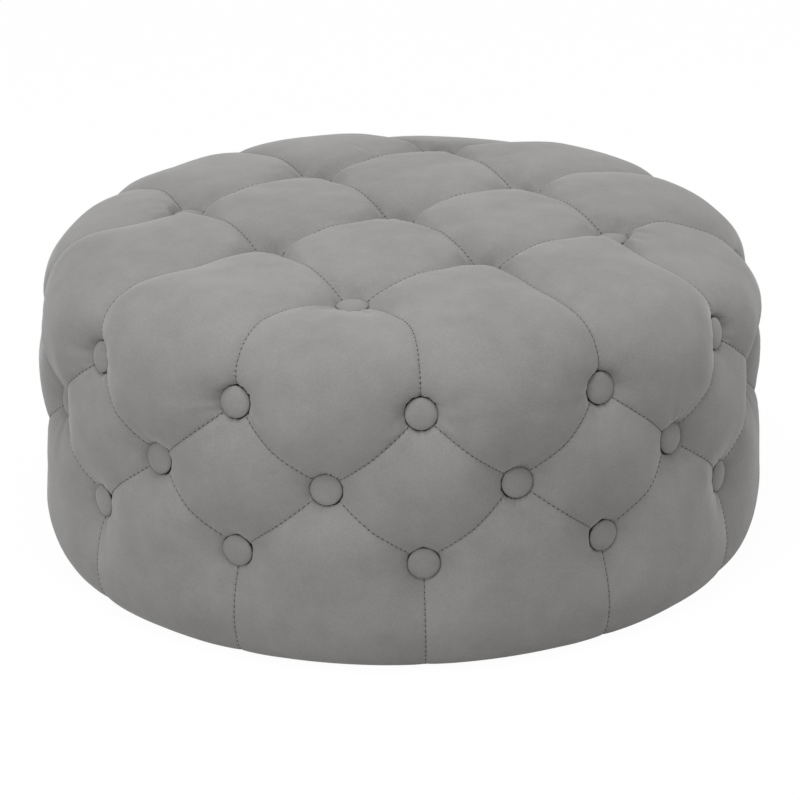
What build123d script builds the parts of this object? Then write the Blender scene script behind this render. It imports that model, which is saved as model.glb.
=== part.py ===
from build123d import *
import os
from math import asin, atan2, cos, degrees, hypot, radians, sin, sqrt, tan

# A low round pouf, deeply buttoned on its side and top. Millimetres, +Z up.
# The origin is on the floor under the centre. X and Y follow the square grid of top buttons.

# Overall diameter, over the fullest puffs of the side
overall_diameter = 720.0

# Heights, from the floor upwards
floor_gap = 1.5  # under the rolled lower edge of the cover
lower_row_height = 108.0
middle_row_rise = 72.0  # from the lower row of buttons
upper_row_rise = 75.0  # from the middle row
crown_rise = 81.0  # from the upper row to the top of the middle puffs

# Side profile, along the crests of the puffs
base_draw = 28.0  # how far the side is drawn in at the floor
base_curve_height = 55.0
shoulder_drop = 15.0  # below the upper row, where the foam starts to curve in
edge_rise_share = 0.66  # how steeply the rounded edge of the seat starts, over the middle row
crown_inset = 70.0  # from the side, where the top has fallen by crown_fall
crown_fall = 22.0
crown_power = 5
base_shares = (0.0, 0.5, 1.0)  # of the quarter turn of the lower curve

# Buttons of the side, in three rows: the middle one is turned by half a pitch
row_buttons = 12
lower_tuft_depth = 24.0
middle_tuft_depth = 26.0
upper_tuft_depth = 29.5
middle_row_tilt = 6.0  # degrees upwards
upper_row_tilt = 11.0
base_pinch = 4.0  # depth of the upright seams at the floor
shoulder_draw = 25.0  # how far the puffs lean in from the upper row to the top
shoulder_pinch = 40.0  # depth of the upright seams there
row_shares = (0.25, 0.5, 0.75)  # levels between two rows

# Buttons of the top, in a square grid
grid_spacing = 151.0
grid_buttons = 3
top_tuft_depth = 29.0  # of the seats below the top, all at one height
seam_width = 2.0  # where the top seams are narrowest

# Covered buttons
button_diameter = 30.0
button_crown = 3.5
button_depth = 7.0  # from the rim down to the seat
button_back_diameter = 14.0
button_flat_share = 0.6  # of its diameter, at the top of the crown
button_sides = 12
button_edge = 0.4  # of the rim
seat_width = 18.0  # of the flat that a button is pulled down on

# Layers, from the outside in
cover_thickness = 4.0  # velvet and its wadding, where a button presses them
foam_thickness = 32.0
wall_thickness = 5.0
soft_gap = 0.3

# Frame
board_thickness = 12.0
ring_thickness = 18.0
ring_width = 70.0
post_clearance = 5.6  # beside the toggles
gaps_per_post = 4  # half pitches between two posts
wall_joint_gap = 2.0

# Underside
hem_thickness = 2.5
hem_lap = 40.0  # under the ring
roll_width = 14.0  # of the lower edge, which hangs below the hem
base_inset = 16.0  # how far the foam is cut back at the floor
base_inset_height = 40.0
shoulder_inset = 26.0  # how far it is cut back at the shoulder
shoulder_inset_share = 0.66  # of the height from there to the top of the foam
dust_cover_thickness = 0.8
dust_cover_margin = 4.0
glide_diameter = 28.0
glide_height = 3.0
glide_foot_diameter = 24.0
glide_count = 6

# Twine, and the toggles that it is tied to inside the frame
twine_diameter = 2.4
twine_gap = 0.3
toggle_length = 24.0
toggle_width = 7.0
toggle_thickness = 5.0
toggle_room = 1.5  # between the upper toggles and the board

overrun = 10.0

# Worked out from the sizes above
crest_radius = overall_diameter / 2
base_radius = crest_radius - base_draw
crown_radius = crest_radius - crown_inset
middle_row_height = lower_row_height + middle_row_rise
upper_row_height = middle_row_height + upper_row_rise
overall_height = upper_row_height + crown_rise
shoulder_height = upper_row_height - shoulder_drop
edge_radius = crest_radius + overrun
edge_top = overall_height + overrun

pitch = 360 / row_buttons
half_pitch = pitch / 2
lower_seat = crest_radius - lower_tuft_depth
middle_seat = crest_radius - middle_tuft_depth
upper_seat = crest_radius - upper_tuft_depth
least_seat = min(lower_seat, middle_seat, upper_seat)
button_radius = button_diameter / 2
seat_half_width = seat_width / 2
seat_half_angle = degrees(asin(seat_half_width / least_seat))

space_radius = least_seat - cover_thickness
foam_radius = space_radius - soft_gap
wall_radius = foam_radius - foam_thickness - soft_gap
frame_radius = wall_radius - wall_thickness - soft_gap

dust_cover_bottom = glide_height + soft_gap
hem_bottom = dust_cover_bottom + dust_cover_thickness + soft_gap
hem_top = hem_bottom + hem_thickness
ring_bottom = hem_top + soft_gap
ring_top = ring_bottom + ring_thickness
board_bottom = upper_row_height + toggle_width / 2 + toggle_room
board_top = board_bottom + board_thickness
grid_reach = grid_spacing * (grid_buttons - 1) / 2
grid_corner = hypot(grid_reach, grid_reach)
top_seat = overall_height - top_tuft_depth


def blend(start, end, share):
    """A value part of the way from start to end."""
    return start + (end - start) * share


def polar(radius, angle):
    """A point on a circle round the axis."""
    return (radius * cos(radians(angle)), radius * sin(radians(angle)))


def crown(radius):
    """Height of the domed top, on its puffs, at a distance from the axis."""
    return overall_height - crown_fall * (radius / crown_radius) ** crown_power


def crest_at(height):
    """Radius of the side, on its puffs, at a height."""
    base_turn = max(0, 1 - (height - floor_gap) / base_curve_height)
    return base_radius + (crest_radius - base_radius) * sqrt(1 - base_turn**2)


def seam_level(height, crest, depth):
    """A level of the side where all seams run straight up."""
    return (height, crest - depth, crest - depth, crest, seat_half_angle)


def seat_levels(height, depth, tilt, on_columns):
    """The lower and upper edge of the seats of a row, which are as wide as they are high."""
    levels = []
    for side in (-1, 1):
        level = height + side * seat_half_width
        crest = crest_at(level)
        seat = crest_radius - depth - side * seat_half_width * tan(radians(tilt))
        if on_columns:
            levels.append((level, seat, seat, crest, seat_half_angle))
        else:
            levels.append((level, seat, crest, seat, half_pitch - seat_half_angle))
    return levels


def row_level(share, below, above, below_on_columns):
    """A level between two rows of seats, given as (height, depth), whose seams run diagonally."""
    height = blend(below[0] + seat_half_width, above[0] - seat_half_width, share)
    crest = crest_at(height)
    below_dip = below[1] * (1 - share) ** 2
    above_dip = above[1] * share**2
    column_dip, between_dip, width_share = above_dip, below_dip, 1 - share
    if below_on_columns:
        column_dip, between_dip, width_share = below_dip, above_dip, share
    half_angle = blend(seat_half_angle, half_pitch - seat_half_angle, width_share)
    return (height, crest - below_dip - above_dip, crest - column_dip, crest - between_dip, half_angle)


def side_levels():
    """Each level: height, radius at the seams, on the column puffs and between them, half angle of a column puff."""
    lower = (lower_row_height, lower_tuft_depth)
    middle = (middle_row_height, middle_tuft_depth)
    upper = (upper_row_height, upper_tuft_depth)
    levels = []
    for share in base_shares:
        height = floor_gap + base_curve_height * (1 - cos(radians(90 * share)))
        depth_share = (height - floor_gap) / (lower_row_height - floor_gap)
        levels.append(seam_level(height, crest_at(height), blend(base_pinch, lower_tuft_depth, depth_share)))
    levels += seat_levels(*lower, 0, True)
    levels += [row_level(share, lower, middle, True) for share in row_shares]
    levels += seat_levels(*middle, middle_row_tilt, False)
    levels += [row_level(share, middle, upper, False) for share in row_shares]
    levels += seat_levels(*upper, upper_row_tilt, True)
    levels.append(seam_level(edge_top, crest_radius - shoulder_draw, shoulder_pinch))
    return levels


def seam_share(place):
    """1 on a line of the button grid, 0 in the middle of a puff and outside the outer ones."""
    place = abs(place)
    if place > grid_reach:
        return max(0, 1 - (place - grid_reach) / (grid_spacing / 2))
    from_line = (grid_reach - place) % grid_spacing
    return abs(1 - from_line / (grid_spacing / 2))


def quilt(x, y):
    """Height of the top, which dips along the lines of the button grid."""
    radius = hypot(x, y)
    depth = crown(min(radius, grid_corner)) - top_seat
    dip = (seam_share(x) ** 2 + seam_share(y) ** 2) / 2
    return crown(radius) - depth * dip


def side_planes(seat, height, first_angle, tilt):
    """A plane on each button seat of a row, facing out of the side."""
    planes = []
    for button in range(row_buttons):
        angle = first_angle + button * pitch
        outward = (*polar(cos(radians(tilt)), angle), sin(radians(tilt)))
        planes.append(Plane(origin=(*polar(seat, angle), height), x_dir=(*polar(1, angle + 90), 0), z_dir=outward))
    return planes


lower_planes = side_planes(lower_seat, lower_row_height, 0, 0)
middle_planes = side_planes(middle_seat, middle_row_height, half_pitch, 0)
upper_planes = side_planes(upper_seat, upper_row_height, 0, 0)
grid_lines = [line * grid_spacing - grid_reach for line in range(grid_buttons)]
top_planes = [Plane(origin=(x, y, top_seat)) for x in grid_lines for y in grid_lines]
tilted_middle_planes = side_planes(middle_seat, middle_row_height, half_pitch, middle_row_tilt)
tilted_upper_planes = side_planes(upper_seat, upper_row_height, 0, upper_row_tilt)

space_top = top_seat - cover_thickness
wall_inner_radius = frame_radius + soft_gap
toggle_reach = sqrt(wall_inner_radius**2 - (toggle_length / 2) ** 2) - soft_gap
post_width = 2 * (toggle_reach * sin(radians(half_pitch / 2)) - toggle_length / 2 - post_clearance)
post_reach = sqrt(frame_radius**2 - (post_width / 2) ** 2) - post_width / 2
post_count = round(pitch * row_buttons / (half_pitch * gaps_per_post))
first_post_angle = half_pitch / 2
glide_reach = frame_radius - hem_lap / 2


def inner_outline(inset, bottom):
    """Half outline of the space in the cover, drawn in by an inset, for turning round the axis."""
    radius = space_radius - inset
    top = space_top - inset
    Polyline(
        (0, bottom),
        (radius - base_inset, bottom),
        (radius, base_inset_height),
        (radius, shoulder_height),
        (radius - shoulder_inset, blend(shoulder_height, top, shoulder_inset_share)),
        (grid_corner + seat_half_width, top),
        (0, top),
        close=True,
    )


# Side of the tufted form: each level is a ring of arcs that meet in the seams
with BuildPart() as side_form:
    for height, seam, column, between, half_angle in side_levels():
        with BuildSketch(Plane.XY.offset(height)):
            with BuildLine():
                for button in range(row_buttons):
                    angle = button * pitch
                    start = polar(seam, angle - half_angle)
                    middle = polar(seam, angle + half_angle)
                    end = polar(seam, angle + pitch - half_angle)
                    if column > seam:
                        ThreePointArc(start, polar(column, angle), middle)
                    else:
                        Line(start, middle)
                    if between > seam:
                        ThreePointArc(middle, polar(between, angle + half_pitch), end)
                    else:
                        Line(middle, end)
            make_face()
    loft(ruled=True)

# Rounded edge of the seat, turned round the axis: it cuts the side off below the top
with BuildPart() as round_form:
    with BuildSketch(Plane.XZ):
        with BuildLine():
            Bezier(
                (edge_radius, middle_row_height),
                (edge_radius, blend(middle_row_height, overall_height, edge_rise_share)),
                (crest_radius, edge_top),
                (0, edge_top),
            )
            Polyline((0, edge_top), (0, 0), (edge_radius, 0), (edge_radius, middle_row_height))
        make_face()
    revolve()

# Top of the tufted form: upright sections, with an arc over each puff and a flat on each seam
outer_middle = grid_reach + grid_spacing / 2
rim_middle = (outer_middle + edge_radius) / 2
section_places = [-edge_radius, -rim_middle, -outer_middle, outer_middle, rim_middle, edge_radius]
section_places += [line + grid_spacing / 2 for line in grid_lines[:-1]]
for line in grid_lines:
    section_places += [line - seat_half_width, line, line + seat_half_width]
with BuildPart() as top_form:
    for y in sorted(section_places):
        seats_here = [line for line in grid_lines if abs(y - line) <= seat_half_width]
        seam_y = seats_here[0] if seats_here else y
        half_width = seat_half_width if seats_here else seam_width / 2
        with BuildSketch(Plane.XZ.offset(-y)):
            with BuildLine():
                start = (-edge_radius, quilt(-edge_radius, y))
                for line in grid_lines:
                    seam_height = quilt(line, seam_y)
                    middle = -outer_middle if line == grid_lines[0] else line - grid_spacing / 2
                    ThreePointArc(start, (middle, quilt(middle, y)), (line - half_width, seam_height))
                    start = (line + half_width, seam_height)
                    Line((line - half_width, seam_height), start)
                end = (edge_radius, quilt(edge_radius, y))
                ThreePointArc(start, (outer_middle, quilt(outer_middle, y)), end)
                below = -edge_radius
                Polyline(end, (edge_radius, below), (-edge_radius, below), (-edge_radius, quilt(-edge_radius, y)))
            make_face()
    loft(ruled=True)

# Holes for the twine, from the seats inwards
hole_width = twine_diameter + 2 * twine_gap
with BuildPart() as side_twine_holes:
    for plane in lower_planes + middle_planes + upper_planes:
        with BuildSketch(plane):
            Rectangle(hole_width, hole_width)
    extrude(amount=-(crest_radius - toggle_reach))
with BuildPart() as top_twine_holes:
    for plane in top_planes:
        with BuildSketch(plane):
            Rectangle(hole_width, hole_width)
    extrude(amount=-(overall_height - board_bottom))

# Velvet cover with its quilted wadding, drawn in at every button and hemmed under the ring
with BuildPart() as tufted_cover:
    add(side_form.part)
    add(round_form.part, mode=Mode.INTERSECT)
    add(top_form.part, mode=Mode.INTERSECT)
    with BuildSketch(Plane.XZ):
        with BuildLine():
            inner_outline(0, hem_top)
        make_face()
    revolve(mode=Mode.SUBTRACT)
    with BuildSketch(Plane.XY):
        Circle(base_radius - base_pinch - roll_width)
    extrude(amount=hem_bottom, mode=Mode.SUBTRACT)
    with BuildSketch(Plane.XY):
        Circle(frame_radius - hem_lap)
    extrude(amount=ring_bottom, mode=Mode.SUBTRACT)
    add(side_twine_holes.part, mode=Mode.SUBTRACT)
    add(top_twine_holes.part, mode=Mode.SUBTRACT)

# Foam round the side, up to the board
with BuildPart() as side_foam:
    with BuildSketch(Plane.XZ):
        with BuildLine():
            inner_outline(soft_gap, ring_bottom)
        make_face()
    revolve()
    with BuildSketch(Plane.XY.offset(ring_bottom)):
        Circle(foam_radius - foam_thickness)
    extrude(amount=overall_height, mode=Mode.SUBTRACT)
    with BuildSketch(Plane.XY.offset(board_top)):
        Circle(foam_radius)
    extrude(amount=overall_height, mode=Mode.SUBTRACT)
    add(side_twine_holes.part, mode=Mode.SUBTRACT)

# Foam of the seat, over the board and the top of the side foam
with BuildPart() as top_foam:
    with BuildSketch(Plane.XZ):
        with BuildLine():
            inner_outline(soft_gap, ring_bottom)
        make_face()
    revolve()
    with BuildSketch(Plane.XY.offset(board_top + soft_gap)):
        Circle(foam_radius)
    extrude(amount=-overall_height, mode=Mode.SUBTRACT)
    add(top_twine_holes.part, mode=Mode.SUBTRACT)

# Plywood board under the seat
with BuildPart() as top_board:
    with BuildSketch(Plane.XY.offset(board_bottom)):
        Circle(frame_radius)
    extrude(amount=board_thickness)
    add(top_twine_holes.part, mode=Mode.SUBTRACT)

# Plywood ring at the floor
with BuildPart() as base_ring:
    with BuildSketch(Plane.XY.offset(ring_bottom)):
        Circle(frame_radius)
        Circle(frame_radius - ring_width, mode=Mode.SUBTRACT)
    extrude(amount=ring_thickness)

# Pine posts between the ring and the board
with BuildPart() as frame_posts:
    with BuildSketch(Plane.XY.offset(ring_top)):
        with PolarLocations(post_reach, post_count, first_post_angle):
            Rectangle(post_width, post_width)
    extrude(amount=board_bottom - ring_top)

# Hardboard bent round the frame, its ends butted over a post
with BuildPart() as wall_panel:
    with BuildSketch(Plane.XY.offset(ring_bottom)):
        Circle(wall_radius)
        Circle(wall_inner_radius, mode=Mode.SUBTRACT)
        with PolarLocations(wall_radius, 1, first_post_angle):
            Rectangle(2 * post_width, wall_joint_gap, mode=Mode.SUBTRACT)
    extrude(amount=board_top - ring_bottom)
    add(side_twine_holes.part, mode=Mode.SUBTRACT)

# One covered button, standing on its seat, with few sides because it is repeated so often
button_top = button_depth + button_crown
with BuildPart() as button:
    with BuildSketch(Plane.XY.offset(soft_gap)):
        RegularPolygon(button_radius, button_sides)
    extrude(amount=button_top - soft_gap)
    back = button.faces().sort_by(Axis.Z)[0]
    back_width = button_radius - button_back_diameter / 2
    chamfer(back.edges(), back_width, length2=button_depth - soft_gap - button_edge, reference=back)
    front = button.faces().sort_by(Axis.Z)[-1]
    chamfer(front.edges(), button_radius * (1 - button_flat_share), length2=button_crown, reference=front)

# The buttons of each row and of the top, all alike
with BuildPart() as lower_row_buttons:
    with Locations(*[plane.location for plane in lower_planes]):
        add(button.part)
with BuildPart() as middle_row_buttons:
    with Locations(*[plane.location for plane in tilted_middle_planes]):
        add(button.part)
with BuildPart() as upper_row_buttons:
    with Locations(*[plane.location for plane in tilted_upper_planes]):
        add(button.part)
with BuildPart() as top_buttons:
    with Locations(*[plane.location for plane in top_planes]):
        add(button.part)

# Twine from each button to its toggle
with BuildPart() as lower_row_twines:
    for plane in lower_planes:
        with BuildSketch(plane.offset(-soft_gap)):
            Rectangle(twine_diameter, twine_diameter)
    extrude(amount=toggle_reach + soft_gap - lower_seat)
with BuildPart() as middle_row_twines:
    for plane in middle_planes:
        with BuildSketch(plane.offset(-soft_gap)):
            Rectangle(twine_diameter, twine_diameter)
    extrude(amount=toggle_reach + soft_gap - middle_seat)
with BuildPart() as upper_row_twines:
    for plane in upper_planes:
        with BuildSketch(plane.offset(-soft_gap)):
            Rectangle(twine_diameter, twine_diameter)
    extrude(amount=toggle_reach + soft_gap - upper_seat)
with BuildPart() as top_twines:
    with BuildSketch(Plane.XY.offset(board_bottom)):
        with GridLocations(grid_spacing, grid_spacing, grid_buttons, grid_buttons):
            Rectangle(twine_diameter, twine_diameter)
    extrude(amount=top_seat - soft_gap - board_bottom)

# Toggles inside the wall and under the board
with BuildPart() as lower_row_toggles:
    for plane in side_planes(toggle_reach, lower_row_height, 0, 0):
        with BuildSketch(plane):
            Rectangle(toggle_length, toggle_width)
    extrude(amount=-toggle_thickness)
with BuildPart() as middle_row_toggles:
    for plane in side_planes(toggle_reach, middle_row_height, half_pitch, 0):
        with BuildSketch(plane):
            Rectangle(toggle_length, toggle_width)
    extrude(amount=-toggle_thickness)
with BuildPart() as upper_row_toggles:
    for plane in side_planes(toggle_reach, upper_row_height, 0, 0):
        with BuildSketch(plane):
            Rectangle(toggle_length, toggle_width)
    extrude(amount=-toggle_thickness)
with BuildPart() as top_toggles:
    with BuildSketch(Plane.XY.offset(board_bottom)):
        with GridLocations(grid_spacing, grid_spacing, grid_buttons, grid_buttons):
            Rectangle(toggle_length, toggle_width)
    extrude(amount=-toggle_thickness)

# Thin woven cloth closing the underside
with BuildPart() as dust_cover:
    with BuildSketch(Plane.XY.offset(dust_cover_bottom)):
        Circle(frame_radius - dust_cover_margin)
    extrude(amount=dust_cover_thickness)

# Glides that the pouf rests on
glide_spread = degrees(atan2((glide_diameter - glide_foot_diameter) / 2, glide_height))
with BuildPart() as glides:
    with BuildSketch(Plane.XY):
        with PolarLocations(glide_reach, glide_count):
            Circle(glide_foot_diameter / 2)
    extrude(amount=glide_height, taper=-glide_spread)

os.makedirs("parts", exist_ok=True)
tufted_cover.part.label = "tufted_cover"
side_foam.part.label = "side_foam"
top_foam.part.label = "top_foam"
wall_panel.part.label = "wall_panel"
top_board.part.label = "top_board"
base_ring.part.label = "base_ring"
frame_posts.part.label = "frame_posts"
lower_row_buttons.part.label = "lower_row_buttons"
middle_row_buttons.part.label = "middle_row_buttons"
upper_row_buttons.part.label = "upper_row_buttons"
top_buttons.part.label = "top_buttons"
lower_row_twines.part.label = "lower_row_twines"
middle_row_twines.part.label = "middle_row_twines"
upper_row_twines.part.label = "upper_row_twines"
top_twines.part.label = "top_twines"
lower_row_toggles.part.label = "lower_row_toggles"
middle_row_toggles.part.label = "middle_row_toggles"
upper_row_toggles.part.label = "upper_row_toggles"
top_toggles.part.label = "top_toggles"
dust_cover.part.label = "dust_cover"
glides.part.label = "glides"
export_step(tufted_cover.part, "parts/tufted_cover.step")
export_step(side_foam.part, "parts/side_foam.step")
export_step(top_foam.part, "parts/top_foam.step")
export_step(wall_panel.part, "parts/wall_panel.step")
export_step(top_board.part, "parts/top_board.step")
export_step(base_ring.part, "parts/base_ring.step")
export_step(frame_posts.part, "parts/frame_posts.step")
export_step(lower_row_buttons.part, "parts/lower_row_buttons.step")
export_step(middle_row_buttons.part, "parts/middle_row_buttons.step")
export_step(upper_row_buttons.part, "parts/upper_row_buttons.step")
export_step(top_buttons.part, "parts/top_buttons.step")
export_step(lower_row_twines.part, "parts/lower_row_twines.step")
export_step(middle_row_twines.part, "parts/middle_row_twines.step")
export_step(upper_row_twines.part, "parts/upper_row_twines.step")
export_step(top_twines.part, "parts/top_twines.step")
export_step(lower_row_toggles.part, "parts/lower_row_toggles.step")
export_step(middle_row_toggles.part, "parts/middle_row_toggles.step")
export_step(upper_row_toggles.part, "parts/upper_row_toggles.step")
export_step(top_toggles.part, "parts/top_toggles.step")
export_step(dust_cover.part, "parts/dust_cover.step")
export_step(glides.part, "parts/glides.step")
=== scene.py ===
import math

import bmesh
import bpy
import numpy as np
from mathutils import Matrix, Vector, noise


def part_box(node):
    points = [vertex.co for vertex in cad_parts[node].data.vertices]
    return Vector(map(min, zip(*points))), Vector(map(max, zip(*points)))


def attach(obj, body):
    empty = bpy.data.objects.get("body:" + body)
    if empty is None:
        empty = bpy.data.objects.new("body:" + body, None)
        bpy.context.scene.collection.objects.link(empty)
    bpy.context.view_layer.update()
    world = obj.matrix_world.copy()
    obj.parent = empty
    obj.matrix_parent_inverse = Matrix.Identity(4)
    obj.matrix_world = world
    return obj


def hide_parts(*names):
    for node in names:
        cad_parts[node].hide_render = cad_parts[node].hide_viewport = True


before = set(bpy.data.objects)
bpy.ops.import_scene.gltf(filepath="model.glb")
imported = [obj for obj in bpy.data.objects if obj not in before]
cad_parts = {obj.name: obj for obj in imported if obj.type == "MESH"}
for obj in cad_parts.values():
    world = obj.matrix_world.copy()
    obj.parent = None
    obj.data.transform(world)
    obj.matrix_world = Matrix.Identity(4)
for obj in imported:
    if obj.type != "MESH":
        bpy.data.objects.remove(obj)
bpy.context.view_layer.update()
bpy.ops.object.select_all(action="DESELECT")
print("frame loaded")

camera = {
    "place": (-1.9794, -3.0378, 1.6570),
    "look": (0.50282, 0.77217, -0.38848),
    "lens": 175.99,
    "sensor": 36,
    "farEnd": 50,
    "roll": 1.04,  # degrees
}


def makeCamera(settings):
    data = bpy.data.cameras.new("camera")
    data.lens = settings["lens"]
    data.sensor_width = settings["sensor"]
    data.clip_end = settings["farEnd"]
    cam = bpy.data.objects.new("camera", data)
    bpy.context.scene.collection.objects.link(cam)
    forward = Vector(settings["look"]).normalized()
    right = forward.cross(Vector((0, 0, 1))).normalized()
    up = right.cross(forward)
    turn = math.radians(settings["roll"])
    camRight = right * math.cos(turn) - up * math.sin(turn)
    camUp = right * math.sin(turn) + up * math.cos(turn)
    basis = Matrix((camRight, camUp, -forward)).transposed().to_4x4()
    cam.matrix_world = Matrix.Translation(settings["place"]) @ basis
    bpy.context.scene.camera = cam


makeCamera(camera)
print("camera placed")


# Shader maths: an expression on sockets adds its Math nodes
class Value:
    def __init__(self, tree, socket):
        self.tree = tree
        self.socket = socket

    def math(self, operation, *others):
        node = self.tree.nodes.new("ShaderNodeMath")
        node.operation = operation
        for place, item in enumerate((self, *others)):
            if isinstance(item, Value):
                self.tree.links.new(item.socket, node.inputs[place])
            else:
                node.inputs[place].default_value = item
        return Value(self.tree, node.outputs[0])

    def __add__(self, other):
        return self.math("ADD", other)

    def __sub__(self, other):
        return self.math("SUBTRACT", other)

    def __rsub__(self, other):
        return (self * -1) + other

    def __mul__(self, other):
        return self.math("MULTIPLY", other)

    def __truediv__(self, other):
        return self.math("DIVIDE", other)

    def clamp(self):
        return self.math("MAXIMUM", 0).math("MINIMUM", 1)


# A material and its nodes; read() gives one output of a new node
class Maker:
    def __init__(self, name):
        self.material = bpy.data.materials.new(name)
        self.material.use_nodes = True
        self.tree = self.material.node_tree
        self.tree.nodes.clear()
        self.place = self.read("Object", "TexCoord")

    def node(self, kind, settings=None, **inputs):
        node = self.tree.nodes.new("ShaderNode" + kind)
        for key, value in (settings or {}).items():
            setattr(node, key, value)
        for key, value in inputs.items():
            # i0, i1 and so on are sockets by number
            numbered = key[0] == "i" and key[1:].isdigit()
            socket = node.inputs[int(key[1:]) if numbered else key.replace("_", " ")]
            if isinstance(value, Value):
                self.tree.links.new(value.socket, socket)
            else:
                socket.default_value = value
        return node

    def read(self, output, kind, settings=None, **inputs):
        return Value(self.tree, self.node(kind, settings, **inputs).outputs[output])

    def split(self, vector):
        return [Value(self.tree, socket) for socket in self.node("SeparateXYZ", Vector=vector).outputs]

    def noise(self, scale, detail, stretch=None):
        place = self.place
        if stretch:
            place = self.read("Vector", "Mapping", Vector=place, Scale=stretch)
        settings = {"Scale": float(scale), "Detail": float(detail), "Roughness": 0.57}
        return self.read("Fac", "TexNoise", Vector=place, **settings)

    def blend(self, share, first, second):
        settings = {"data_type": "RGBA", "clamp_factor": True}
        return self.read(2, "Mix", settings, i0=share, i6=first, i7=second)

    def surface(self, colour, roughness, height, depth, strength=0.7):
        normal = self.read("Normal", "Bump", Strength=strength, Distance=depth, Height=height)
        return self.node("BsdfPrincipled", Base_Color=colour, Roughness=roughness, Normal=normal)

    def plain(self, colour, roughness, height, depth):
        return self.finish(self.surface(colour, roughness, height, depth))

    def finish(self, shader):
        output = self.node("OutputMaterial")
        self.tree.links.new(shader.outputs[0], output.inputs["Surface"])
        return self.material


def addPiece(name, mesh):
    piece = bpy.data.objects.new(name, mesh)
    bpy.context.scene.collection.objects.link(piece)
    return piece


def addCopies(name, shape, places):
    # one piece of copies of a shape
    group = bmesh.new()
    for place in places:
        copy = shape.data.copy()
        copy.transform(place)
        group.from_mesh(copy)
        bpy.data.meshes.remove(copy)
    mesh = bpy.data.meshes.new(name)
    group.to_mesh(mesh)
    group.free()
    return addPiece(name, mesh)


# The tufted cover. Lengths in metres, angles in degrees
cover = {
    "radius": 0.360,
    "height": 0.336,
    "shoulder": 0.225,  # height where the side starts to round over
    "roundness": 3.2,  # of the crown and shoulder
    "baseDraw": 0.020,
    "baseCurve": 0.055,
    "floorGap": 0.0015,
    "rows": (0.108, 0.180, 0.255),
    "seats": (0.336, 0.334, 0.3305),  # how far from the axis the buttons of each row sit
    "tilts": (0, 6, 11),
    "topSeat": 0.3057,
    "grid": 0.151,
    "uprightReach": 0.25,  # inside this the top is pulled straight down
    "valleyDip": 0.0045,  # along the seams of the side
    "topValleyDip": 0.0030,
    "floorDip": 0.002,
    "fadeHeight": 0.06,  # where an upright seam has its full depth
    "valleyWidth": 0.045,
    "diamondSide": 0.116,  # between two buttons, across a seam of the side
    "columnHalf": 0.094,  # from an upright seam to the middle of its panel
    "slantShare": 0.79,  # of a height, as a distance from a slanting seam
    "shoulderSlant": 0.092,
    "shoulderRun": 0.21,  # of a seam over the shoulder
    "shoulderRoom": 0.2,
    "seamStart": 0.2,  # share below an upper button in which its upright seam fades in
    "cornerGap": 0.02,
    "leastRoom": 0.01,
    "bunching": 0.10,  # how much closer the points are near the buttons
    "hollowReach": 0.074,  # of the hollow round a button
    "topHollowReach": 0.034,
    "foldReach": 0.082,  # how far a seam of the top runs down to its button
    "foldWidth": 0.011,
    "bendReach": 0.268,  # where a corner seam turns towards its button
    "bendPull": 3.0,  # how sharply it turns there
    "wideHollow": (0.60, 0.25),  # where the front corner button's hollow widens: cosine and span
    "innerTop": (0.195, 0.05),  # radius where the top's shallow seams end, and span
    "softness": 0.0014,  # of the edge of a button's pocket
    "puffs": (3, -5, 2, 2, -3, 7, 9, -2, 9, 6, -5, 3),  # millimetres, of each panel of the shoulder
    "liftAngles": (0, 60, 105, 135, 180, 225, 270, 300, 330, 360),
    "lifts": (-2, -2, 0, 9, 14, 12, 12, 2, -6, -2),  # millimetres, of the shoulder at those angles
    "liftPlace": (0.305, 0.085),  # middle and reach along the crest
    "liftOut": 0.55,
    "liftUp": 0.83,
    "shoulderShare": 0.375,  # of a shoulder seam, from the middle row up to the upper row
    "seatRadius": 0.009,
    "pocketRadius": 0.0165,
    "pocketRise": 0.0062,
    "pocketSlope": 5,  # of the cloth outside the pocket
    "pocketNear": 0.05,  # how near a button its pocket is measured
    "creaseDepth": 0.0011,
    "creaseWidth": 0.0028,
    "creaseClear": (0.015, 0.004),  # how far from a button a crease starts, and span
    "tautHeight": 0.03,  # below it the cloth has less and less slack
    "mergeGap": 0.0002,
    "samples": (1500, 200, 120, 1200),  # of the crest: shoulder, side, base and the whole
    "seamSamples": 400,
    "segments": 24,
    "bottomRows": 40,
    "shoulderRows": (19, 49),  # below and above the upper buttons
    "wrinkles": (  # from and to, each an angle and a length on the crest, then depth and width
        (240.9, 0.352, 241.0, 0.318, 0.0010, 0.0018),
        (268.4, 0.352, 268.0, 0.334, 0.0012, 0.0020),
        (178.5, 0.318, 183.0, 0.296, 0.0010, 0.0025),
        (196.0, 0.350, 201.0, 0.342, 0.0014, 0.0060),
        (187.0, 0.346, 191.0, 0.340, 0.0012, 0.0050),
        (203.0, 0.352, 206.0, 0.338, 0.0012, 0.0050),
        (192.0, 0.560, 196.0, 0.605, 0.0012, 0.0030),
        (170.0, 0.345, 173.0, 0.318, 0.0012, 0.0030),
        (302.0, 0.352, 301.6, 0.330, 0.0010, 0.0020),
        (62.0, 0.352, 61.6, 0.322, 0.0010, 0.0020),
    ),
    "wrinkleBow": 0.003,
    "wrinkleEnds": (0.08, 0.92),
    "uneven": 0.0014,
    "pull": 0.0010,  # of the small folds that run out from a button
}
rowCount = 12
pitch = 30
halfPitch = 15


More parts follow.
